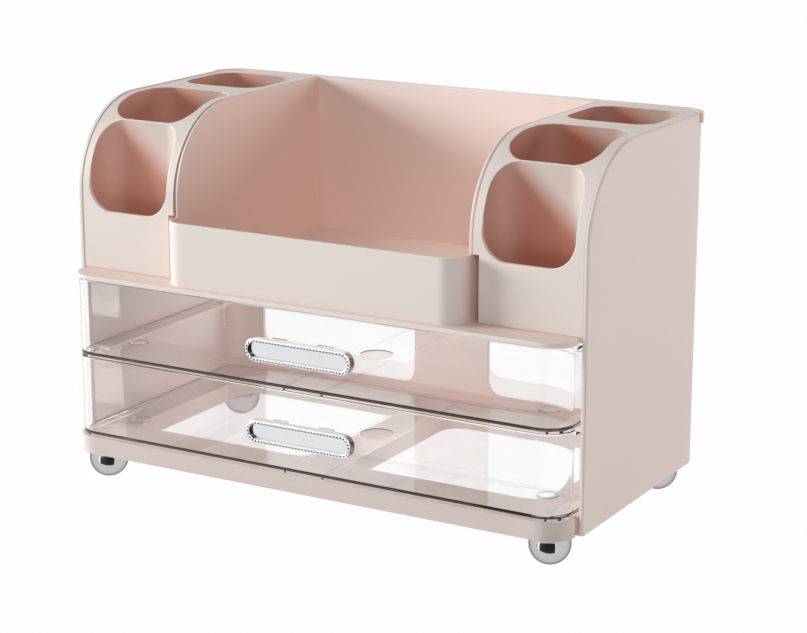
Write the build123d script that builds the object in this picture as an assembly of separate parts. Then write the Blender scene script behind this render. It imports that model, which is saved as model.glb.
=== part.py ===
from build123d import *
import os

# Desktop make-up organizer: a pink moulded housing with a centre tray between two brush towers,
# two clear drawers with beaded chrome pulls below, and four chrome ball feet.
# Millimetres, +Z up, -Y towards the user. The origin is under the middle of the object, on the table.

os.makedirs("parts", exist_ok=True)

# Housing: two shells that wrap from the sides round to the middle of the back
housing_width = 320.0
housing_depth = 170.5
shell_wall = 2.5
shell_corner_radius = 16.0
panel_setback = 17.5
panel_edge_round = 1.2
shoulder_radius = 52.0
window_inner_x = 25.0
window_side_margin = 25.0
window_sill = 16.0
window_height = 76.0
window_corner_radius = 9.0

# Cap strip on the top edge of the back
rim_overhang = 1.5
rim_return = 14.0
rim_cap = 2.8
rim_lip_height = 5.5
rim_edge_round = 0.6

# Base, drawer and deck levels, stacked from the table up
foot_drop = 16.5
base_height = 10.4
lower_drawer_height = 46.6
upper_drawer_height = 44.9
deck_thickness = 2.5
tower_height = 95.0

# Flat plates between the shells
front_corner_radius = 15.0
base_sheet = 3.0
base_wall = 3.0
cutout_inner_x = 11.5
cutout_side_margin = 24.5
cutout_front_margin = 27.0
cutout_rear_margin = 21.5
cutout_corner_radius = 13.0
corner_relief_depth = 2.0
corner_relief_width = 3.0
deck_edge_round = 0.7
tongue_depth = 0.8
tongue_thickness = 1.6
base_tongue_level = 3.0

# Brush towers
tower_tray_gap = 0.9
tower_wall = 2.2
tower_face_setback = 0.3
pocket_margin = 5.0
pocket_corner_radius = 12.5
pocket_floor = 2.0
well_wall = 1.8
front_pocket_rear = 37.0
pocket_partition = 1.5
pocket_bridge = 17.0
pocket_rear_margin = 12.0
middle_pocket_share = 0.51
front_opening_sill = 33.7
opening_corner_radius = 15.0
opening_edge_round = 0.5
lip_notch_width = 3.5
lip_notch_depth = 8.0
seat_line = 0.5

# Centre tray
tray_half_width = 93.4
tray_setback = 4.5
tray_wall = 1.8
tray_floor = 2.0
tray_lip_height = 35.7
tray_corner_radius = 12.0
tray_shoulder_setback = 1.0
tray_edge_round = 0.6

# Locating pegs under the tray and the towers
peg_radius = 2.5
peg_length = 1.8
tray_peg_inset = 33.4

# Runners that carry the upper drawer
runner_width = 14.0
runner_thickness = 2.2
runner_flange_height = 8.0
runner_flange_thickness = 1.4
runner_front_gap = 3.0
runner_peg_radius = 2.0
runner_peg_length = 1.5
runner_peg_shares = (0.2, 0.8)

# Clear drawers
drawer_side_gap = 2.0
drawer_rear_gap = 10.0
drawer_wall = 2.2
drawer_floor = 1.8
drawer_rear_radius = 8.0
drawer_edge_round = 0.6
drawer_front_zone = 16.0
drawer_side_drop = 3.0
rib_height = 0.8
rib_width = 1.2
middle_rib_x = 12.0
side_rib_insets = (4.5, 10.0)
gate_mark_radius = 9.5
gate_mark_depth = 0.5
gate_mark_back = 80.0
ring_mark_radius = 6.0
ring_mark_width = 1.0
ring_mark_height = 0.6
ring_mark_inset = 23.5
ring_mark_back = 33.0

# Beaded pulls
handle_length = 67.0
handle_height = 13.0
handle_depth = 4.8
handle_level_share = 0.475
handle_rim = 2.0
handle_dish_depth = 2.4
handle_wall = 1.2
handle_edge_round = 0.5
bead_width = 1.4
bead_rise = 0.7
mirror_thickness = 0.4
clip_width = 9.5
clip_thickness = 1.0
clip_x = 14.5
clip_inset = 0.9
clip_hook = 1.2
clip_lip = 0.5

# Ball feet and their screws
foot_diameter = 22.5
foot_flat_depth = 0.5
foot_seat_height = 3.5
foot_side_inset = 17.5
foot_front_inset = 15.0
foot_rear_inset = 18.0
foot_boss_radius = 7.0
screw_radius = 1.5
screw_head_radius = 3.0
screw_head_height = 1.8
screw_reach = 9.0

# Clearances
running_gap = 0.3
seat_gap = 0.3
plate_gap = 0.5
snug_gap = 0.1
overrun = 5.0

# Levels worked out from the sizes above
base_bottom = foot_drop
base_top = base_bottom + base_height
lower_drawer_bottom = base_top + running_gap
lower_drawer_top = lower_drawer_bottom + lower_drawer_height
upper_drawer_bottom = lower_drawer_top + running_gap
upper_drawer_top = upper_drawer_bottom + upper_drawer_height
deck_bottom = upper_drawer_top + running_gap
deck_top = deck_bottom + deck_thickness
housing_top = deck_top + tower_height
tongue_level_deck = deck_bottom + (deck_thickness - tongue_thickness) / 2
tongue_level_base = base_bottom + base_tongue_level

# Places in plan, with the whole depth centred on the origin
overall_depth = handle_depth + housing_depth + rim_overhang
front_y = handle_depth - overall_depth / 2
back_y = front_y + housing_depth
back_inner_y = back_y - shell_wall
panel_front_y = front_y + panel_setback
half_width = housing_width / 2
inner_half = half_width - shell_wall
inner_corner_radius = shell_corner_radius - shell_wall
plate_half = inner_half - plate_gap
drawer_half = inner_half - drawer_side_gap
drawer_rear_y = back_inner_y - drawer_rear_gap
tower_inner_x = tray_half_width + tower_tray_gap
tower_outer_x = inner_half - seat_gap
tower_face_y = panel_front_y + tower_face_setback
tower_rear_y = back_inner_y - plate_gap
tray_rear_y = back_inner_y - snug_gap
pocket_inner_x = tower_inner_x + pocket_margin
pocket_outer_x = tower_outer_x - pocket_margin
middle_pocket_low = front_y + front_pocket_rear + pocket_partition
rear_pocket_high = tower_rear_y - pocket_rear_margin
pocket_run = rear_pocket_high - middle_pocket_low - pocket_bridge
middle_pocket_high = middle_pocket_low + pocket_run * middle_pocket_share
rear_pocket_low = middle_pocket_high + pocket_bridge
lip_top = deck_top + tray_lip_height


def plan(x_low, x_high, y_low, y_high, radii=(0, 0, 0, 0)):
    """Flat outline; corner radii in the order front left, front right, rear right, rear left."""
    corners = [(x_low, y_low), (x_high, y_low), (x_high, y_high), (x_low, y_high)]
    outline = make_face(Polyline(*corners, close=True))
    for corner, radius in zip(corners, radii):
        if radius:
            nearest = outline.vertices().sort_by_distance(corner)[0]
            outline = fillet(nearest, radius)
    return outline


def prism(outline, z_low, z_high):
    """A plan outline raised between two levels."""
    return extrude(Pos(0, 0, z_low) * outline, z_high - z_low)


def front_prism(outline, y_low, y_high):
    """An outline drawn in X and Z, carried back from y_low to y_high."""
    return extrude(Plane.XZ.offset(-y_high) * outline, y_high - y_low)


def shoulder_prism(front, radius, top, bottom, rear, x_low, x_high):
    """Side view with an upright front, a quarter-round shoulder and a flat top, carried along X."""
    upright = Line((front, bottom), (front, top - radius))
    shoulder = CenterArc((front + radius, top - radius), radius, 90, 90)
    roof = Line((front + radius, top), (rear, top))
    drop = Line((rear, top), (rear, bottom))
    sole = Line((rear, bottom), (front, bottom))
    face = make_face([upright, shoulder, roof, drop, sole])
    return extrude(Plane.YZ.offset(x_low) * face, x_high - x_low)


def both_sides(part):
    """A right-hand feature together with its mirror image."""
    return part + mirror(part, about=Plane.YZ)


def within(edges, x_low, x_high):
    """Those edges that lie wholly between two places along X."""
    boxes = [(edge, edge.bounding_box()) for edge in edges]
    return [edge for edge, box in boxes if box.min.X > x_low - snug_gap and box.max.X < x_high + snug_gap]


def plate_outline(inset):
    """Outline of a plate between the shells, drawn in from its edge by the inset."""
    half = plate_half - inset
    front_radius = front_corner_radius - inset
    rear_radius = inner_corner_radius - plate_gap - inset
    radii = (front_radius, front_radius, rear_radius, rear_radius)
    return plan(-half, half, front_y + inset, back_inner_y - plate_gap - inset, radii)


def tongue_slab(level, growth):
    """Slab as thick as a plate's edge tongue, wide enough to reach into the shells."""
    half = inner_half + tongue_depth + growth
    rear = back_inner_y + tongue_depth + growth
    radius = inner_corner_radius + tongue_depth + growth
    outline = plan(-half, half, panel_front_y + runner_front_gap - growth, rear, (0, 0, radius, radius))
    return prism(outline, level - growth, level + tongue_thickness + growth)


def corner_relief(z_low, z_high):
    """Shadow slots between a plate's front corners and the side panels."""
    slot_front = panel_front_y - corner_relief_width
    outline = plan(plate_half - corner_relief_depth, half_width, slot_front, panel_front_y)
    return both_sides(prism(outline, z_low, z_high))


def foot_places():
    """Node name and plan position of each foot."""
    places = {}
    foot_x = half_width - foot_side_inset
    for row, y in (("front", front_y + foot_front_inset), ("rear", back_y - foot_rear_inset)):
        for side, x in (("left", -foot_x), ("right", foot_x)):
            places[f"{row}_{side}_foot"] = (x, y)
    return places


def screw_shape(growth):
    """Foot screw at the origin's plan position, head flush with the base; growth makes its hole."""
    head_low = base_top - screw_head_height
    seat = base_bottom + foot_seat_height
    shank = prism(Circle(screw_radius + growth), seat - screw_reach - growth, head_low)
    head = prism(Circle(screw_head_radius + growth), head_low - growth, base_top)
    return shank + head


def cutout_outline(growth):
    """Outline of the right-hand cut-out in the base, grown to make the wall round it."""
    low = front_y + cutout_front_margin - growth
    high = back_inner_y - plate_gap - cutout_rear_margin + growth
    outer_x = plate_half - cutout_side_margin + growth
    radii = [cutout_corner_radius + growth] * 4
    return plan(cutout_inner_x - growth, outer_x, low, high, radii)


def base_plate():
    """Plate with a skirt all round and round its two cut-outs, and a boss over each foot."""
    body = prism(plate_outline(0), base_bottom, base_top)
    hollow = prism(plate_outline(base_wall), base_bottom, base_top - base_sheet)
    body -= hollow - both_sides(prism(cutout_outline(base_wall), base_bottom, base_top))
    body -= both_sides(prism(cutout_outline(0), base_bottom, base_top))
    tongue = tongue_slab(tongue_level_base, 0)
    tongue -= prism(plate_outline(base_wall / 2), base_bottom, base_top)
    body += tongue
    for x, y in foot_places().values():
        body += Pos(x, y) * prism(Circle(foot_boss_radius), base_bottom + foot_seat_height, base_top)
    for x, y in foot_places().values():
        body -= Pos(x, y) * screw_shape(snug_gap)
    return body - corner_relief(base_bottom - overrun, base_top + overrun)


def shell():
    """Right-hand shell: side panel, rounded rear corner and half of the back with its window."""
    outer = plan(0, half_width, panel_front_y, back_y, (0, 0, shell_corner_radius, 0))
    inner = plan(-overrun, inner_half, panel_front_y - overrun, back_inner_y,
                 (0, 0, inner_corner_radius, 0))
    body = prism(outer, base_bottom, housing_top) - prism(inner, base_bottom - overrun, housing_top + overrun)
    body &= shoulder_prism(panel_front_y, shoulder_radius, housing_top, base_bottom, back_y, 0, half_width)
    sill = base_bottom + window_sill
    window = plan(window_inner_x, half_width - window_side_margin, sill, sill + window_height,
                  [window_corner_radius] * 4)
    body -= front_prism(window, back_inner_y - overrun, back_y + overrun)
    rim_seat = plan(-overrun, half_width + overrun, back_y - rim_return - snug_gap, back_y + overrun)
    body -= prism(rim_seat, housing_top - rim_cap, housing_top + overrun)
    rounded = body.edges().filter_by_position(Axis.X, half_width, half_width)
    body = fillet(rounded.filter_by_position(Axis.Y, panel_front_y, back_y - shell_corner_radius
                                             ).sort_by(Axis.Z)[1:], panel_edge_round)
    body -= tongue_slab(tongue_level_base, snug_gap)
    body -= tongue_slab(tongue_level_deck, snug_gap)
    return body - runner_pegs(snug_gap)


def rear_rim():
    """Cap strip of L section that closes the top edge of the back and holds the two shells together."""
    def band(outside, inside):
        """Plan band from outside the shells' outer face to inside it."""
        half = half_width + outside
        radius = shell_corner_radius + outside
        far = plan(-half, half, back_y - rim_return, back_y + outside)
        ring = plan(-half, half, front_y, back_y + outside, (0, 0, radius, radius))
        hole_half = half_width - inside
        hole_radius = shell_corner_radius - inside
        hole_radii = (0, 0, hole_radius, hole_radius)
        hole = plan(-hole_half, hole_half, front_y - overrun, back_y - inside, hole_radii)
        return (ring - hole) & far

    cap = prism(band(rim_overhang, shell_wall), housing_top - rim_cap, housing_top)
    lip = prism(band(rim_overhang, -snug_gap), housing_top - rim_lip_height, housing_top)
    strip = cap + lip
    top_edges = strip.edges().filter_by_position(Axis.Z, housing_top, housing_top)
    return fillet(top_edges, rim_edge_round)


def deck_plate():
    """Thin floor over the drawers that carries the tray and the towers."""
    body = prism(plate_outline(0), deck_bottom, deck_top)
    edges = body.edges().filter_by_position(Axis.Y, front_y, front_y + front_corner_radius)
    body = fillet(edges.filter_by_position(Axis.Z, deck_top, deck_top), deck_edge_round)
    body += tongue_slab(tongue_level_deck, 0)
    body -= corner_relief(deck_bottom - overrun, deck_top + overrun)
    return body - locating_pegs(snug_gap)


def peg_places():
    """Plan positions of the pegs under the tray and the right-hand tower."""
    tower_x = (tower_inner_x + tower_outer_x) / 2
    tray_x = tray_half_width - tray_peg_inset
    middle_y = (middle_pocket_low + middle_pocket_high) / 2
    rear_y = (rear_pocket_low + rear_pocket_high) / 2
    return {"tray": [(tray_x, middle_y), (tray_x, rear_y)],
            "tower": [(tower_x, middle_y), (tower_x, rear_y)]}


def peg(x, y, growth):
    """Peg that hangs below the deck's top face."""
    return Pos(x, y) * prism(Circle(peg_radius + growth), deck_top - peg_length - growth, deck_top)


def locating_pegs(growth):
    """Every peg on both sides, grown by the clearance of its hole."""
    places = peg_places()
    pegs = [peg(x, y, growth) for x, y in places["tray"] + places["tower"]]
    return both_sides(Part() + pegs)


def pocket_outlines(growth):
    """Plan outlines of the front, middle and rear pockets of the right-hand tower."""
    spans = [(tower_face_y + tower_wall, front_y + front_pocket_rear),
             (middle_pocket_low, middle_pocket_high),
             (rear_pocket_low, rear_pocket_high)]
    radius = pocket_corner_radius + growth
    outlines = []
    for number, (low, high) in enumerate(spans):
        front_radius = radius if number else 0
        radii = (front_radius, front_radius, radius, radius)
        x_low, x_high = pocket_inner_x - growth, pocket_outer_x + growth
        outlines.append(plan(x_low, x_high, low - growth, high + growth, radii))
    return outlines


def brush_tower():
    """Right-hand tower: a curved face plate with side walls and three wells that stand on the deck."""
    roof = housing_top - tower_face_setback
    radius = shoulder_radius - tower_face_setback
    rear_radius = inner_corner_radius - plate_gap
    outline = plan(tower_inner_x, tower_outer_x, tower_face_y, tower_rear_y, (0, 0, rear_radius, 0))
    block = prism(outline, deck_top, roof)
    block &= shoulder_prism(tower_face_y, radius, roof, deck_top, tower_rear_y, tower_inner_x, tower_outer_x)
    hollow = plan(tower_inner_x + tower_wall, tower_outer_x - tower_wall, tower_face_y + tower_wall,
                  tower_rear_y - tower_wall, (0, 0, rear_radius - tower_wall, 0))
    hollow = prism(hollow, deck_top, roof)
    hollow &= shoulder_prism(tower_face_y + tower_wall, radius - tower_wall, roof - tower_wall, deck_top,
                             tower_rear_y, tower_inner_x, tower_outer_x)
    wells = Part() + [prism(outline, deck_top, roof) for outline in pocket_outlines(well_wall)]
    body = block - hollow
    body += block & wells
    for outline in pocket_outlines(0):
        body -= prism(outline, deck_top + pocket_floor, roof + overrun)
    sill = deck_top + front_opening_sill
    radii = (opening_corner_radius, opening_corner_radius, 0, 0)
    opening = plan(pocket_inner_x, pocket_outer_x, sill, roof, radii)
    body -= front_prism(opening, tower_face_y - overrun, tower_face_y + tower_wall + snug_gap)
    skin = body.faces().filter_by_position(Axis.Z, roof, roof)
    skin += body.faces().filter_by_position(Axis.Y, tower_face_y, tower_face_y)
    skin += body.faces().filter_by(lambda face: face.radius and abs(face.radius - radius) < snug_gap)
    body = fillet(within(skin.edges(), pocket_inner_x, pocket_outer_x), opening_edge_round)
    notch = plan(tower_inner_x - overrun, tower_inner_x + lip_notch_width, tower_face_y - overrun,
                 tower_face_y + lip_notch_depth)
    filler = plan(tower_inner_x, tower_inner_x + lip_notch_width + tower_wall, tower_face_y,
                  tower_face_y + lip_notch_depth + tower_wall)
    body += prism(filler, deck_top, lip_top + plate_gap + tower_wall)
    body -= prism(notch, deck_top - overrun, lip_top + plate_gap)
    shadow = plan(tower_inner_x, tower_outer_x, tower_face_y, tower_face_y + seat_line)
    body -= prism(shadow, deck_top, deck_top + seat_line)
    for x, y in peg_places()["tower"]:
        body += peg(x, y, 0)
    return body


def center_tray():
    """Open tray with a low rounded front lip, curved side walls and a full-height back."""
    rear = tray_rear_y
    radii = (tray_corner_radius, tray_corner_radius, 0, 0)
    outer = plan(-tray_half_width, tray_half_width, front_y + tray_setback, rear, radii)
    body = prism(outer, deck_top, housing_top)
    inner_radius = tray_corner_radius - tray_wall
    inner_half_width = tray_half_width - tray_wall
    inner = plan(-inner_half_width, inner_half_width, front_y + tray_setback + tray_wall, rear - tray_wall,
                 (inner_radius, inner_radius, 0, 0))
    lip_zone = plan(-half_width, half_width, front_y, rear)
    keep = prism(lip_zone, deck_top, lip_top)
    keep += shoulder_prism(panel_front_y + tray_shoulder_setback, shoulder_radius - tray_shoulder_setback,
                           housing_top - tower_face_setback, deck_top, rear, -half_width, half_width)
    body &= keep
    body -= prism(inner, deck_top + tray_floor, housing_top + overrun)
    body = fillet(body.edges().filter_by(lambda edge: edge.bounding_box().min.Z > lip_top - snug_gap),
                  tray_edge_round)
    for x, y in peg_places()["tray"]:
        body += both_sides(peg(x, y, 0))
    return body


def runner_span():
    """Front and rear ends of the drawer runners."""
    return panel_front_y + runner_front_gap, back_y - shell_corner_radius


def runner_pegs(growth):
    """Pegs that hold the right-hand runner in its panel."""
    low, high = runner_span()
    level = upper_drawer_bottom - running_gap - runner_flange_height / 2
    pegs = Part()
    for share in runner_peg_shares:
        place = Pos(inner_half, low + (high - low) * share, level) * Rot(0, 90, 0)
        pegs += place * extrude(Circle(runner_peg_radius + growth), runner_peg_length + growth)
    return pegs


def drawer_runner():
    """Right-hand ledge that the upper drawer slides on, with a flange against the side panel."""
    low, high = runner_span()
    top = upper_drawer_bottom - running_gap
    ledge = prism(plan(inner_half - runner_width, inner_half, low, high), top - runner_thickness, top)
    flange = prism(plan(inner_half - runner_flange_thickness, inner_half, low, high),
                   top - runner_flange_height, top)
    return ledge + flange + runner_pegs(0)


def stadium(length, height):
    """Round-ended bar outline."""
    return SlotOverall(length, height)


def handle_middle(bottom, height):
    """Level of a pull's middle on a drawer."""
    return bottom + height * handle_level_share


def handle_clips(level, growth):
    """Four clip tabs that pass through the drawer front; growth makes their slots."""
    tab = Rectangle(clip_width + 2 * growth, clip_thickness + 2 * growth)
    reach = front_y + drawer_wall + snug_gap + clip_hook
    clips = Part()
    for side in (-clip_x, clip_x):
        for edge in (-handle_height / 2 + clip_inset, handle_height / 2 - clip_inset):
            clips += front_prism(Pos(side, level + edge) * tab, front_y - handle_wall, reach)
    return clips


def clip_hooks(level):
    """Ends of the clip tabs, turned outwards behind the drawer front."""
    lip = Rectangle(clip_width, clip_thickness + clip_lip)
    start = front_y + drawer_wall + snug_gap
    middle = handle_height / 2 - clip_inset + clip_lip / 2
    hooks = Part()
    for side in (-clip_x, clip_x):
        for edge in (-middle, middle):
            hooks += front_prism(Pos(side, level + edge) * lip, start, start + clip_hook)
    return hooks


def drawer(bottom, height):
    """Clear box with a full-height rounded front, lower sides and a ribbed underside."""
    top = bottom + height
    rear = drawer_rear_y
    radii = (front_corner_radius, front_corner_radius, drawer_rear_radius, drawer_rear_radius)
    body = prism(plan(-drawer_half, drawer_half, front_y, rear, radii), bottom, top)
    body = fillet(body.faces().filter_by(Axis.Z).edges(), drawer_edge_round)
    side_zone = plan(-half_width, half_width, front_y + drawer_front_zone, rear + overrun)
    body -= prism(side_zone, top - drawer_side_drop, top + overrun)
    inner_half_width = drawer_half - drawer_wall
    inner_radii = [radius - drawer_wall for radius in radii]
    inner = plan(-inner_half_width, inner_half_width, front_y + drawer_wall, rear - drawer_wall, inner_radii)
    floor_bottom = bottom + rib_height
    floor_top = floor_bottom + drawer_floor
    body -= prism(inner, floor_top, top + overrun)
    underside = prism(inner, bottom - overrun, floor_bottom)
    for place in [middle_rib_x] + [drawer_half - inset for inset in side_rib_insets]:
        rib = plan(place - rib_width / 2, place + rib_width / 2, front_y, rear)
        underside -= both_sides(prism(rib, bottom - overrun, floor_bottom))
    body -= underside
    mark = Pos(0, front_y + gate_mark_back) * Circle(gate_mark_radius)
    body -= prism(mark, floor_top - gate_mark_depth, floor_top)
    ring = Circle(ring_mark_radius) - Circle(ring_mark_radius - ring_mark_width)
    ring = Pos(drawer_half - ring_mark_inset, front_y + ring_mark_back) * ring
    body += both_sides(prism(ring, floor_top, floor_top + ring_mark_height))
    return body - handle_clips(handle_middle(bottom, height), snug_gap)


def handle_shell(level):
    """Chrome pull: a round-ended cup, open behind, with a dish in front and four hooked clip tabs."""
    face_y = front_y - handle_depth + bead_rise
    outline = Pos(0, level) * stadium(handle_length, handle_height)
    body = front_prism(outline, face_y, front_y)
    front_edges = body.edges().filter_by_position(Axis.Y, face_y, face_y)
    body = fillet(front_edges, handle_edge_round)
    dish = Pos(0, level) * stadium(handle_length - 2 * handle_rim, handle_height - 2 * handle_rim)
    body -= front_prism(dish, face_y - overrun, face_y + handle_dish_depth)
    cavity = stadium(handle_length - 2 * handle_wall, handle_height - 2 * handle_wall)
    body -= front_prism(Pos(0, level) * cavity, face_y + handle_dish_depth + handle_wall, front_y + overrun)
    return body + handle_clips(level, 0) + clip_hooks(level)


def handle_mirror(level):
    """Polished plate in the bottom of the pull's dish."""
    floor_y = front_y - handle_depth + bead_rise + handle_dish_depth
    inset = 2 * (handle_rim + snug_gap)
    outline = Pos(0, level) * stadium(handle_length - inset, handle_height - inset)
    return front_prism(outline, floor_y - mirror_thickness, floor_y)


def handle_bead_rim(level):
    """Raised strip round the dish that carries the bead row."""
    face_y = front_y - handle_depth + bead_rise
    border = handle_rim - bead_width
    outer = stadium(handle_length - 2 * border, handle_height - 2 * border)
    inner = stadium(handle_length - 2 * handle_rim, handle_height - 2 * handle_rim)
    strip = front_prism(Pos(0, level) * (outer - inner), face_y - bead_rise, face_y)
    crest = strip.edges().filter_by_position(Axis.Y, face_y - bead_rise, face_y - bead_rise)
    return fillet(crest, bead_rise / 2)


def ball_foot():
    """Ball with a flat seat on top and a small flat underneath, drilled for its screw."""
    radius = foot_diameter / 2
    seat = base_bottom + foot_seat_height
    ball = Pos(0, 0, radius - foot_flat_depth) * Sphere(radius)
    body = ball & prism(Circle(foot_diameter), 0, seat)
    return body - screw_shape(snug_gap)


def save(name, part):
    """Write one piece under its node name."""
    part.label = name
    export_step(part, f"parts/{name}.step")


save("base_plate", base_plate())
save("rear_rim", rear_rim())
save("deck_plate", deck_plate())
save("center_tray", center_tray())

for name, right in (("shell", shell()), ("brush_tower", brush_tower()), ("drawer_runner", drawer_runner())):
    save(f"right_{name}", right)
    save(f"left_{name}", mirror(right, about=Plane.YZ))

drawer_levels = {"lower": (lower_drawer_bottom, lower_drawer_height),
                 "upper": (upper_drawer_bottom, upper_drawer_height)}
for place, (bottom, height) in drawer_levels.items():
    level = handle_middle(bottom, height)
    save(f"{place}_drawer", drawer(bottom, height))
    save(f"{place}_handle_shell", handle_shell(level))
    save(f"{place}_handle_mirror", handle_mirror(level))
    save(f"{place}_handle_bead_rim", handle_bead_rim(level))

for name, (x, y) in foot_places().items():
    save(name, Pos(x, y) * ball_foot())
screws = [Pos(x, y) * screw_shape(0) for x, y in foot_places().values()]
save("foot_screws", Compound(children=screws))
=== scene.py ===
import math

import bpy
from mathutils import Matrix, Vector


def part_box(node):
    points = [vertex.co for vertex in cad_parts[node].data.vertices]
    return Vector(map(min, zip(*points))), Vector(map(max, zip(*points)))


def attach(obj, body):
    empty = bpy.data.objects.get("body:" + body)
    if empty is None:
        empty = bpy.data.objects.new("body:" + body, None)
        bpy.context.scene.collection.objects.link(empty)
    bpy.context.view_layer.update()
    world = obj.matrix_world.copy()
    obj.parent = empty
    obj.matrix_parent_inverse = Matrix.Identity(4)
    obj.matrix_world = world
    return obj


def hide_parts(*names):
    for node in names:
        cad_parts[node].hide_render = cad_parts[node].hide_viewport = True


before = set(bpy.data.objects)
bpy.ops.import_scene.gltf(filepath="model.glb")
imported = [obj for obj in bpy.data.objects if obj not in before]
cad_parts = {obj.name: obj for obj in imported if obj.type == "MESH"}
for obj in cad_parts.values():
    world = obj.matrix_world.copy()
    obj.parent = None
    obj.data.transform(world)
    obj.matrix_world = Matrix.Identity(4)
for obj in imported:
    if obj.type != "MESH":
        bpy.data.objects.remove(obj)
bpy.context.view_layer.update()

scene = bpy.context.scene
scene.view_settings.view_transform = "Standard"


# Camera. It stands to the right of the organizer, a little above it, and looks down at the drawers.
# The place and the lens were solved from the housing's corners.
look_down, turn_left = 0.2564, 0.5244
camera_data = bpy.data.cameras.new("camera")
camera_data.sensor_width = 36.0
camera_data.lens = 98.9
camera = bpy.data.objects.new("camera", camera_data)
camera.location = (0.6187, -1.0435, 0.4158)
camera.rotation_euler = (math.pi / 2 - look_down, 0.0, turn_left)
scene.collection.objects.link(camera)
scene.camera = camera


# Floor and backdrop. A plain white table and a white room, which metal and clear plastic see too.
# Part of the table stays a matte white surface, so that it keeps the organizer's soft shadow.
def feed(tree, socket, value):
    """Links another node's output to an input, or sets the input to a colour or a number."""
    if isinstance(value, bpy.types.NodeSocket):
        tree.links.new(value, socket)
    elif isinstance(value, tuple):
        socket.default_value = (*value, 1.0)
    else:
        socket.default_value = value


def worked_out(tree, operation, *values):
    """Result of a Math node."""
    node = tree.nodes.new("ShaderNodeMath")
    node.operation = operation
    for socket, value in zip(node.inputs, values):
        feed(tree, socket, value)
    return node.outputs[0]


def ramp(tree, value, start=0.0, end=1.0, first=0.0, last=1.0):
    """Goes from first to last while the value goes from start to end, and stays there."""
    node = tree.nodes.new("ShaderNodeMapRange")
    for name, given in (("Value", value), ("From Min", start), ("From Max", end),
                        ("To Min", first), ("To Max", last)):
        feed(tree, node.inputs[name], given)
    return node.outputs["Result"]


def mixed(tree, factor, first, second):
    """Colour between two colours."""
    node = tree.nodes.new("ShaderNodeMix")
    node.data_type = "RGBA"
    factor_input, first_input, second_input, colour_output = 0, 6, 7, 2
    for number, given in ((factor_input, factor), (first_input, first), (second_input, second)):
        feed(tree, node.inputs[number], given)
    return node.outputs[colour_output]


def new_material(name):
    material = bpy.data.materials.new(name)
    material.use_nodes = True
    return material


def surface_shader(tree, shader):
    """Makes a shader the only surface of a material that was emptied."""
    made = tree.nodes.new("ShaderNodeOutputMaterial")
    tree.links.new(shader.outputs[0], made.inputs["Surface"])


def shown_background(tree):
    """1 for rays that show the background: straight from the camera, mirrored or through clear plastic."""
    path = tree.nodes.new("ShaderNodeLightPath")
    either = worked_out(tree, "MAXIMUM", path.outputs["Is Camera Ray"], path.outputs["Is Glossy Ray"])
    return worked_out(tree, "MAXIMUM", either, path.outputs["Is Transmission Ray"])


shown_white = (1.0, 1.0, 1.0)
room_tint, room_light, backdrop_light = (1.0, 0.74, 0.65), 0.175, 0.27
room_heading, backdrop_heading = -0.3, 0.5
world = bpy.data.worlds.new("white_room")
scene.world = world
world.use_nodes = True
tree = world.node_tree
sky = tree.nodes["Background"]
shown = shown_background(tree)
feed(tree, sky.inputs["Color"], mixed(tree, shown, room_tint, shown_white))
heading = tree.nodes.new("ShaderNodeTexCoord")
heading_axes = tree.nodes.new("ShaderNodeSeparateXYZ")
tree.links.new(heading.outputs["Generated"], heading_axes.inputs[0])
backlight = ramp(tree, heading_axes.outputs["Y"], room_heading, backdrop_heading, room_light, backdrop_light)
feed(tree, sky.inputs["Strength"], ramp(tree, shown, first=backlight))

table_half, table_level = 4.0, -0.0002
table_grey, table_tint = (0.86, 0.86, 0.86), (0.92, 1.0, 1.0)
glow_unseen, glow_shown = 0.12, 0.97
table_mesh = bpy.data.meshes.new("table")
table_corners = [(-table_half, -table_half), (table_half, -table_half),
                 (table_half, table_half), (-table_half, table_half)]
table_mesh.from_pydata([(x, y, table_level) for x, y in table_corners], [], [(0, 1, 2, 3)])
table = bpy.data.objects.new("table", table_mesh)
scene.collection.objects.link(table)
table_white = new_material("table_white")
tree = table_white.node_tree
tree.nodes.clear()
matte = tree.nodes.new("ShaderNodeBsdfDiffuse")
feed(tree, matte.inputs["Color"], table_grey)
glow = tree.nodes.new("ShaderNodeEmission")
shown = shown_background(tree)
feed(tree, glow.inputs["Color"], mixed(tree, shown, table_tint, shown_white))
blend = tree.nodes.new("ShaderNodeMixShader")
feed(tree, blend.inputs["Fac"], ramp(tree, shown, first=glow_unseen, last=glow_shown))
tree.links.new(matte.outputs[0], blend.inputs[1])
tree.links.new(glow.outputs[0], blend.inputs[2])
surface_shader(tree, blend)
table_mesh.materials.append(table_white)


# Studio lamps. A bright soft box from the left, two weak ones from the front and from behind on the right,
# and two small weak ones that lift the shade: a narrow strip in the upper drawer and a spot over the tray.
def soft_box(name, place, target, size, power):
    """Square lamp at a place, turned towards a target."""
    data = bpy.data.lights.new(name, "AREA")
    data.size = size
    data.energy = power
    lamp = bpy.data.objects.new(name, data)
    lamp.location = place
    aim = [t - p for t, p in zip(target, place)]
    flat = math.hypot(aim[0], aim[1])
    lamp.rotation_euler = (math.atan2(flat, -aim[2]), 0.0, math.atan2(aim[1], aim[0]) - math.pi / 2)
    scene.collection.objects.link(lamp)
    return lamp


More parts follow.
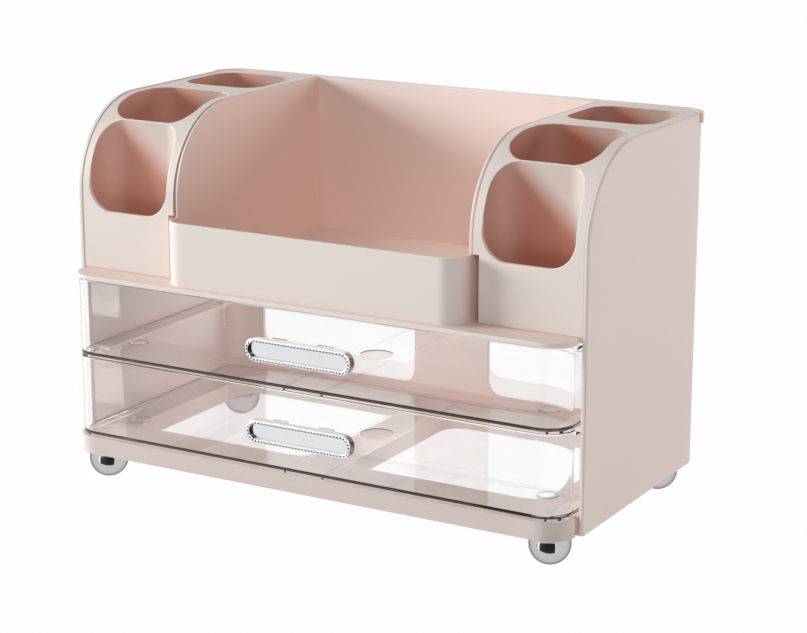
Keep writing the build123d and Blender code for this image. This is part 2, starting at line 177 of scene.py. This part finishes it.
key_place, key_target, low_target = (-2.98, -1.2, 1.0), (0.0, 0.0, 0.12), (0.0, 0.0, 0.1)
key_lamp = soft_box("key_lamp", key_place, key_target, size=1.0, power=134.0)
key_lamp.data.color = (0.89, 1.0, 1.02)
front_lamp = soft_box("front_lamp", (1.0, -1.6, 1.25), low_target, size=0.9, power=13.0)
front_lamp.data.color = (0.86, 1.0, 1.0)
side_lamp = soft_box("side_lamp", (1.3, 1.2, 0.45), low_target, size=0.8, power=13.0)
side_lamp.visible_glossy = False
drawer_lamp = soft_box("drawer_lamp", (0.0, -0.07, 0.105), (0.0, 0.09, 0.105), size=0.21, power=0.118)
drawer_lamp.data.shape = "RECTANGLE"
drawer_lamp.data.size_y = 0.012
drawer_lamp.data.spread = math.radians(138.0)
tray_lamp = soft_box("tray_lamp", (0.03, -0.02, 0.42), (0.03, 0.05, 0.13), size=0.08, power=0.019)
tray_lamp.data.color = (0.90, 1.0, 1.0)
tray_lamp.data.spread = math.radians(40.0)
for lamp in (drawer_lamp, tray_lamp):
    lamp.visible_camera = False
    lamp.visible_glossy = False
    lamp.visible_transmission = False


# Net. A fine grey net hangs just beside the left side panel and takes part of the bright lamp's light off it.
# It has the panel's outline, moved towards the lamp, and only shadows see it.
low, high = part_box("left_shell")
net_gap, net_lets_through = 0.006, 0.40
shoulder, arc_steps = 0.052, 16
reach = key_target[0] - key_place[0]
shift_y = net_gap * (key_place[1] - key_target[1]) / reach
shift_z = net_gap * (key_place[2] - key_target[2]) / reach
outline = [(low[1], low[2]), (high[1], low[2]), (high[1], high[2])]
for step in range(arc_steps + 1):
    turn = math.pi / 2 * step / arc_steps
    outline.append((low[1] + shoulder * (1 - math.sin(turn)), high[2] - shoulder * (1 - math.cos(turn))))
net_mesh = bpy.data.meshes.new("side_net")
net_mesh.from_pydata([(low[0] - net_gap, y + shift_y, z + shift_z) for y, z in outline], [],
                     [tuple(range(len(outline)))])
net_grey = new_material("net_grey")
tree = net_grey.node_tree
tree.nodes.clear()
weave = tree.nodes.new("ShaderNodeBsdfTransparent")
feed(tree, weave.inputs["Color"], (net_lets_through, net_lets_through, net_lets_through))
surface_shader(tree, weave)
net_mesh.materials.append(net_grey)
net = bpy.data.objects.new("side_net", net_mesh)
scene.collection.objects.link(net)
net.visible_camera = False
net.visible_diffuse = False
net.visible_glossy = False
net.visible_transmission = False


# Housing. Base, side shells, cap strip, deck, tray and drawer runners, injection moulded in a nude pink ABS
# with a soft gloss, and joined by tongues and pegs. They are the CAD solids themselves.
def moulded_plastic_group():
    """Shared effect of a smooth skin: slow colour drift, fine orange peel and uneven gloss."""
    group = bpy.data.node_groups.new("moulded_skin", "ShaderNodeTree")
    for name, kind, default in (("Color", "NodeSocketColor", (0.8, 0.8, 0.8, 1.0)),
                                ("Deep Color", "NodeSocketColor", (0.7, 0.7, 0.7, 1.0)),
                                ("Drift Scale", "NodeSocketFloat", 9.0),
                                ("Peel Scale", "NodeSocketFloat", 420.0),
                                ("Gloss Low", "NodeSocketFloat", 0.38),
                                ("Gloss High", "NodeSocketFloat", 0.42)):
        group.interface.new_socket(name, in_out="INPUT", socket_type=kind).default_value = default
    for name, kind in (("Color", "NodeSocketColor"), ("Roughness", "NodeSocketFloat"),
                       ("Height", "NodeSocketFloat")):
        group.interface.new_socket(name, in_out="OUTPUT", socket_type=kind)
    given = group.nodes.new("NodeGroupInput").outputs
    made = group.nodes.new("NodeGroupOutput").inputs
    place = group.nodes.new("ShaderNodeTexCoord")

    def noise(scale, detail):
        node = group.nodes.new("ShaderNodeTexNoise")
        node.inputs["Detail"].default_value = detail
        feed(group, node.inputs["Vector"], place.outputs["Object"])
        feed(group, node.inputs["Scale"], scale)
        return node.outputs["Fac"]

    drift = noise(given["Drift Scale"], detail=3.0)
    feed(group, made["Color"], mixed(group, drift, given["Color"], given["Deep Color"]))
    feed(group, made["Height"], noise(given["Peel Scale"], detail=2.0))
    feed(group, made["Roughness"], ramp(group, drift, first=given["Gloss Low"], last=given["Gloss High"]))
    return group


moulded_skin = moulded_plastic_group()


def skinned(tree, values):
    """Outputs of the shared skin, placed in a material with its own values."""
    skin = tree.nodes.new("ShaderNodeGroup")
    skin.node_tree = moulded_skin
    for name, value in values.items():
        feed(tree, skin.inputs[name], value)
    return skin.outputs


def deeper(colour, share):
    return tuple(share * part for part in colour)


def bumped(tree, height, strength, distance):
    """Normal from a height, for a shallow relief."""
    relief = tree.nodes.new("ShaderNodeBump")
    relief.inputs["Strength"].default_value = strength
    relief.inputs["Distance"].default_value = distance
    feed(tree, relief.inputs["Height"], height)
    return relief.outputs["Normal"]


def pink_plastic(name, pink=(0.76, 0.645, 0.605), bounce=(0.92, 0.58, 0.47), wells=None):
    """Pink plastic; bounce is its tint for light between walls, wells a function that paints shade into
    pockets.
    """
    material = new_material(name)
    tree = material.node_tree
    shader = tree.nodes["Principled BSDF"]
    skin = skinned(tree, {"Color": pink, "Deep Color": deeper(pink, share=0.98)})
    colour = wells(tree, skin["Color"]) if wells else skin["Color"]
    path = tree.nodes.new("ShaderNodeLightPath")
    feed(tree, shader.inputs["Base Color"], mixed(tree, path.outputs["Is Diffuse Ray"], colour, bounce))
    feed(tree, shader.inputs["Roughness"], skin["Roughness"])
    feed(tree, shader.inputs["Normal"], bumped(tree, skin["Height"], strength=0.06, distance=0.0004))
    return material


def give_finish(material, *names):
    for name in names:
        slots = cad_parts[name].data.materials
        slots.clear()
        slots.append(material)


give_finish(pink_plastic("nude_pink_abs"), "left_shell", "right_shell", "rear_rim",
            "center_tray", "left_drawer_runner", "right_drawer_runner")
give_finish(pink_plastic("deck_pink_abs", bounce=(0.76, 0.66, 0.63)), "deck_plate")
# The base plate is the same plastic painted a darker pink: painted shade, since it gets less light low down.
give_finish(pink_plastic("base_pink_abs_painted_shade", pink=(0.66, 0.532, 0.497)), "base_plate")


# Brush towers. Two upright blocks of the same pink ABS, moulded hollow with three pockets each and pegged
# into the deck. The walls of the pockets are painted a deeper pink as shade, since they catch little light,
# and deepest low down and below a slanted line towards the lower left, as a painted shadow.
pocket_margin, tower_wall, front_pocket, wall_blur = 0.0049, 0.0021, 0.020, 0.0002
rim_facing, wall_facing = 0.7, 0.3
pocket_wall_shade, rear_pocket_wall_shade = (0.61, 0.49, 0.445), (0.50, 0.35, 0.30)
lit_level, dim_level, rear_drop = 0.226, 0.208, 0.021
fade_before, fade_after = 0.03, 0.018


def place_and_facing(tree):
    """Place on a piece, and the way its surface faces, each as three axes."""
    sources = (tree.nodes.new("ShaderNodeTexCoord").outputs["Object"],
               tree.nodes.new("ShaderNodeNewGeometry").outputs["Normal"])
    split = [tree.nodes.new("ShaderNodeSeparateXYZ") for source in sources]
    for source, axes in zip(sources, split):
        tree.links.new(source, axes.inputs[0])
    return [axes.outputs for axes in split]


def pocket_painted_shade(low, high, shadow_pink):
    """Function that paints shade into the pockets of the tower in a box; the painted shadow starts at a
    slanted level.
    """
    left, right = low[0] + pocket_margin, high[0] - pocket_margin
    front, second = low[1] + tower_wall, low[1] + front_pocket

    def coloured(tree, colour):
        place, facing = place_and_facing(tree)
        inside = ramp(tree, place["Y"], front - wall_blur, front)
        for value, start, end in ((place["X"], left - wall_blur, left),
                                  (place["X"], right + wall_blur, right),
                                  (facing["Z"], rim_facing, wall_facing)):
            inside = worked_out(tree, "MULTIPLY", inside, ramp(tree, value, start, end))
        rear = ramp(tree, place["Y"], second - wall_blur, second)
        colour = mixed(tree, inside, colour, pocket_wall_shade)
        colour = mixed(tree, worked_out(tree, "MULTIPLY", inside, rear), colour, rear_pocket_wall_shade)
        # Painted shadow: a darker pink below a slanted line across the pockets, where the bright lamp's
        # shadow falls.
        slant = worked_out(tree, "ADD", place["X"], place["Z"])
        slant = worked_out(tree, "MULTIPLY_ADD", rear, -rear_drop, slant)
        deep = worked_out(tree, "MULTIPLY", inside, ramp(tree, slant, left + lit_level, left + dim_level))
        deep = worked_out(tree, "MULTIPLY", deep,
                          ramp(tree, place["X"], left - fade_before, left + fade_after))
        return mixed(tree, deep, colour, shadow_pink)

    return coloured


# Painted shadow colours of the pockets; the right tower's is darker.
for side, shadow_pink in (("left", (0.60, 0.27, 0.205)), ("right", (0.48, 0.185, 0.135))):
    low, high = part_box(f"{side}_brush_tower")
    wells = pocket_painted_shade(low, high, shadow_pink)
    give_finish(pink_plastic(f"{side}_tower_pink_abs_painted_shade", wells=wells), f"{side}_brush_tower")


# Drawers. Two open boxes moulded in clear polystyrene; the lower one slides on the base, the upper one on
# the runners. The edge of each floor traps the light and looks dark through the front; a faint brown glow is
# painted on the front at the floor's height and at the ends of the ribs below it, stronger at the left, to
# make it a dark brown line. A round mark in the floor is a little cloudy.
rib_height, rib_width, floor_thickness, line_blur = 0.0008, 0.0012, 0.0016, 0.0002
middle_rib, outer_rib_margin, inner_rib_margin = 0.012, 0.0045, 0.010
side_facing, front_facing = -0.2, -0.5
left_line_glow, right_line_glow = (0.115, 0.088, 0.076), (0.045, 0.026, 0.021)
mark_back, mark_radius, mark_level, mark_tint = 0.080, 0.0095, 0.004, (0.86, 0.765, 0.755)


def clear_plastic(name, low, high):
    """Clear plastic of the drawer in a box."""
    material = new_material(name)
    tree = material.node_tree
    shader = tree.nodes["Principled BSDF"]
    shader.inputs["Transmission Weight"].default_value = 1.0
    shader.inputs["IOR"].default_value = 1.38
    skin = skinned(tree, {"Color": (1.0, 1.0, 1.0), "Deep Color": (0.99, 0.985, 0.985),
                          "Gloss Low": 0.0, "Gloss High": 0.01})
    place, facing = place_and_facing(tree)
    floor_low = low[2] + rib_height
    floor_high = low[2] + rib_height + floor_thickness
    dark = worked_out(tree, "MULTIPLY", ramp(tree, place["Z"], floor_low - line_blur, floor_low),
                      ramp(tree, place["Z"], floor_high + line_blur, floor_high))
    under = ramp(tree, place["Z"], floor_low, floor_low - line_blur)
    across = worked_out(tree, "ABSOLUTE", place["X"])
    for rib in (middle_rib, high[0] - outer_rib_margin, high[0] - inner_rib_margin):
        aside = worked_out(tree, "ABSOLUTE", worked_out(tree, "SUBTRACT", across, rib))
        rib_end = ramp(tree, aside, rib_width / 2 + line_blur, rib_width / 2)
        dark = worked_out(tree, "MAXIMUM", dark, worked_out(tree, "MULTIPLY", under, rib_end))
    dark = worked_out(tree, "MULTIPLY", dark, ramp(tree, facing["Y"], side_facing, front_facing))
    # Painted light: the line gets a faint brown glow that the clear plastic itself doesn't have.
    brown = mixed(tree, ramp(tree, place["X"], low[0], high[0]), left_line_glow, right_line_glow)
    feed(tree, shader.inputs["Emission Color"], mixed(tree, dark, (0.0, 0.0, 0.0), brown))
    shader.inputs["Emission Strength"].default_value = 1.0
    back = worked_out(tree, "SUBTRACT", place["Y"], low[1] + mark_back)
    distance = worked_out(tree, "ADD", worked_out(tree, "MULTIPLY", back, back),
                          worked_out(tree, "MULTIPLY", across, across))
    mark = worked_out(tree, "MULTIPLY",
                      ramp(tree, distance, mark_radius ** 2, (mark_radius - line_blur) ** 2),
                      ramp(tree, place["Z"], low[2] + mark_level + line_blur, low[2] + mark_level))
    feed(tree, shader.inputs["Base Color"], mixed(tree, mark, skin["Color"], mark_tint))
    feed(tree, shader.inputs["Roughness"], skin["Roughness"])
    path = tree.nodes.new("ShaderNodeLightPath").outputs
    open_air = tree.nodes.new("ShaderNodeBsdfTransparent")
    through = tree.nodes.new("ShaderNodeMixShader")
    let_through = worked_out(tree, "MAXIMUM", path["Is Shadow Ray"], path["Is Diffuse Ray"])
    feed(tree, through.inputs["Fac"], let_through)
    tree.links.new(shader.outputs[0], through.inputs[1])
    tree.links.new(open_air.outputs[0], through.inputs[2])
    tree.links.new(through.outputs[0], tree.nodes["Material Output"].inputs["Surface"])
    return material


for place in ("lower", "upper"):
    low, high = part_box(f"{place}_drawer")
    give_finish(clear_plastic(f"{place}_clear_styrene", low, high), f"{place}_drawer")


# Pulls. Chrome plated cups clipped through the drawer fronts, each with a silvered plate seated in its dish.
# They are the CAD solids; the cup is satin on top and brown at its outer ends, and the dish's end walls are
# painted black as shade.
def plated_metal(name, colour, gloss_low, gloss_high):
    material = new_material(name)
    tree = material.node_tree
    shader = tree.nodes["Principled BSDF"]
    shader.inputs["Metallic"].default_value = 1.0
    skin = skinned(tree, {"Color": colour, "Deep Color": deeper(colour, share=0.94), "Drift Scale": 60.0,
                          "Gloss Low": gloss_low, "Gloss High": gloss_high})
    feed(tree, shader.inputs["Base Color"], skin["Color"])
    feed(tree, shader.inputs["Roughness"], skin["Roughness"])
    return material


polished_facing, satin_facing, polished_metal, satin_metal = 0.4, 0.8, 1.0, 0.2
dish_end_start, dish_end_full, dish_end_shade = -0.008, -0.012, (0.02, 0.02, 0.022)
outer_end_start, outer_end_full, outer_brown = 0.010, 0.018, (0.36, 0.255, 0.235)
chrome = plated_metal("pull_chrome", (0.93, 0.93, 0.94), 0.08, 0.12)
tree = chrome.node_tree
shader = tree.nodes["Principled BSDF"]
polish = shader.inputs["Base Color"].links[0].from_socket
spot, facing = place_and_facing(tree)
feed(tree, shader.inputs["Metallic"],
     ramp(tree, facing["Z"], polished_facing, satin_facing, polished_metal, satin_metal))
outward = worked_out(tree, "MULTIPLY", spot["X"], facing["X"])
# Painted shade: the dish's inner end walls are coloured black.
dish_shaded = mixed(tree, ramp(tree, outward, dish_end_start, dish_end_full), polish, dish_end_shade)
browned = mixed(tree, ramp(tree, outward, outer_end_start, outer_end_full), dish_shaded, outer_brown)
feed(tree, shader.inputs["Base Color"], browned)
strip_silver = plated_metal("strip_silver", (0.93, 0.93, 0.935), 0.34, 0.40)
silver_plate = plated_metal("silvered_plate", (0.80, 0.80, 0.82), 0.08, 0.14)
# Painted shade: the beads are black where the row shows dark gaps.
bead_shade_black = plated_metal("bead_shade_black", (0.012, 0.011, 0.012), 0.34, 0.40)
for place in ("lower", "upper"):
    give_finish(chrome, f"{place}_handle_shell")
    give_finish(silver_plate, f"{place}_handle_mirror")


# Bead rows. A silver strip with small beads at an even pitch, set on the pull's face round each dish; the
# beads are painted black as shade, standing for the dark gaps between chrome beads.
# Geometry Nodes sweep the strip along the dish's outline and lay the beads on it.
def bead_row_tree():
    tree = bpy.data.node_groups.new("bead_row", "GeometryNodeTree")
    sockets = {}
    for name, kind in (("Row Length", "NodeSocketFloat"), ("Row Height", "NodeSocketFloat"),
                       ("Bead Diameter", "NodeSocketFloat"), ("Bead Count", "NodeSocketInt"),
                       ("Strip Width", "NodeSocketFloat"), ("Strip Depth", "NodeSocketFloat"),
                       ("Middle", "NodeSocketVector"),
                       ("Bead Finish", "NodeSocketMaterial"), ("Strip Finish", "NodeSocketMaterial")):
        sockets[name] = tree.interface.new_socket(name, in_out="INPUT", socket_type=kind).identifier
    tree.interface.new_socket("Geometry", in_out="OUTPUT", socket_type="NodeSocketGeometry")
    given = tree.nodes.new("NodeGroupInput").outputs
    made = tree.nodes.new("NodeGroupOutput").inputs

    def step(kind, values):
        """Node of a kind with its inputs set or linked."""
        node = tree.nodes.new(f"GeometryNode{kind}")
        for name, value in values.items():
            feed(tree, node.inputs[name], value)
        return node

    end_steps, nearly_half, bead_segments, bead_rings = 24, 0.4999, 10, 6
    oblong = step("CurvePrimitiveQuadrilateral", {"Width": given["Row Length"],
                                                  "Height": given["Row Height"]})
    round_ends = step("FilletCurve", {"Curve": oblong.outputs[0]})
    round_ends.mode = "POLY"
    feed(tree, round_ends.inputs["Count"], end_steps)
    feed(tree, round_ends.inputs["Radius"], worked_out(tree, "MULTIPLY", given["Row Height"], nearly_half))
    spaced = step("ResampleCurve", {"Curve": round_ends.outputs[0], "Count": given["Bead Count"]})
    bead = step("MeshUVSphere", {"Segments": bead_segments, "Rings": bead_rings,
                                 "Radius": worked_out(tree, "MULTIPLY", given["Bead Diameter"], 0.5)})
    smooth = step("SetShadeSmooth", {"Geometry": bead.outputs["Mesh"]})
    row = step("InstanceOnPoints", {"Points": spaced.outputs[0], "Instance": smooth.outputs[0]})
    real = step("RealizeInstances", {"Geometry": row.outputs[0]})
    beads = step("SetMaterial", {"Geometry": real.outputs[0], "Material": given["Bead Finish"]})
    profile = step("CurvePrimitiveQuadrilateral", {"Width": given["Strip Width"],
                                                   "Height": given["Strip Depth"]})
    swept = step("CurveToMesh", {"Curve": round_ends.outputs[0], "Profile Curve": profile.outputs[0]})
    strip = step("SetMaterial", {"Geometry": swept.outputs[0], "Material": given["Strip Finish"]})
    together = step("JoinGeometry", {"Geometry": beads.outputs[0]})
    tree.links.new(strip.outputs[0], together.inputs["Geometry"])
    upright = step("Transform", {"Geometry": together.outputs[0], "Translation": given["Middle"]})
    upright.inputs["Rotation"].default_value = (math.pi / 2, 0.0, 0.0)
    tree.links.new(upright.outputs[0], made["Geometry"])
    return tree, sockets


bead_tree, bead_sockets = bead_row_tree()
strip_width, strip_depth, strip_sink = 0.0014, 0.0004, 0.00006
bead_pitch, bead_diameter = 0.0020, 0.00125
for place in ("lower", "upper"):
    low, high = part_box(f"{place}_handle_bead_rim")
    row = bpy.data.objects.new(f"{place}_bead_row", bpy.data.meshes.new(f"{place}_bead_row"))
    scene.collection.objects.link(row)
    modifier = row.modifiers.new("beads", "NODES")
    modifier.node_group = bead_tree
    length, height = high[0] - low[0] - strip_width, high[2] - low[2] - strip_width
    row_length = 2 * (length - height) + math.pi * height
    middle = ((low[0] + high[0]) / 2, high[1] - strip_sink, (low[2] + high[2]) / 2)
    for name, value in (("Row Length", length), ("Row Height", height), ("Bead Diameter", bead_diameter),
                        ("Bead Count", round(row_length / bead_pitch)), ("Strip Width", strip_width),
                        ("Strip Depth", strip_depth), ("Bead Finish", bead_shade_black),
                        ("Strip Finish", strip_silver), ("Middle", middle)):
        modifier[bead_sockets[name]] = value
    shaped = row.evaluated_get(bpy.context.evaluated_depsgraph_get())
    row_mesh = bpy.data.meshes.new_from_object(shaped)
    row.modifiers.remove(modifier)
    row.data = row_mesh
    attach(row, f"{place}_drawer_unit")
    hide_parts(f"{place}_handle_bead_rim")


# Feet. Four chrome plated balls, each pulled up into the base by a plain steel screw from inside.
# They are the CAD solids; their plating is darker where it is seen at a flat angle.
feet = [f"{row}_{side}_foot" for row in ("front", "rear") for side in ("left", "right")]
foot_chrome = plated_metal("foot_chrome", (0.55, 0.55, 0.555), 0.03, 0.06)
feed(foot_chrome.node_tree, foot_chrome.node_tree.nodes["Principled BSDF"].inputs["Specular Tint"],
     (0.25, 0.25, 0.26))
give_finish(foot_chrome, *feet)
give_finish(plated_metal("screw_steel", (0.5, 0.5, 0.51), 0.3, 0.42), "foot_screws")


# Mirror cards. Studio cards that only mirror images see: a black one on the table in front, and before each
# front foot a small black one with a glowing white one behind it.
def mirror_card(name, finish, points):
    card_mesh = bpy.data.meshes.new(name)
    card_mesh.from_pydata(points, [], [(0, 1, 2, 3)])
    card_mesh.materials.append(finish)
    card = bpy.data.objects.new(name, card_mesh)
    scene.collection.objects.link(card)
    card.visible_camera = False
    card.visible_diffuse = False
    card.visible_transmission = False
    card.visible_shadow = False


card_black, card_white = new_material("card_black"), new_material("card_white")
card_black.node_tree.nodes["Principled BSDF"].inputs["Base Color"].default_value = (0.01, 0.01, 0.01, 1.0)
card_white.node_tree.nodes["Principled BSDF"].inputs["Emission Strength"].default_value = 1.7
card_level = 0.0005
floor_corners = ((0.0, -0.19), (0.10, -0.14), (0.30, -0.50), (0.14, -0.58))
mirror_card("floor_card", card_black, [(x, y, card_level) for x, y in floor_corners])
cards = (("black_card", card_black, 0.022, -0.024, 0.009, 0.018),
         ("white_card", card_white, 0.024, -0.037, 0.0105, 0.018))
for side in ("left", "right"):
    low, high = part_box(f"front_{side}_foot")
    middle = ((low[0] + high[0]) / 2, (low[1] + high[1]) / 2)
    bearing = math.atan2(camera.location.y - middle[1], camera.location.x - middle[0])
    ahead, across = (math.cos(bearing), math.sin(bearing)), (-math.sin(bearing), math.cos(bearing))
    for name, finish, gap, left, right, top in cards:
        corners = ((left, 0.0), (right, 0.0), (right, top), (left, top))
        points = [(middle[0] + ahead[0] * gap + across[0] * aside,
                   middle[1] + ahead[1] * gap + across[1] * aside, up) for aside, up in corners]
        mirror_card(f"{side}_{name}", finish, points)
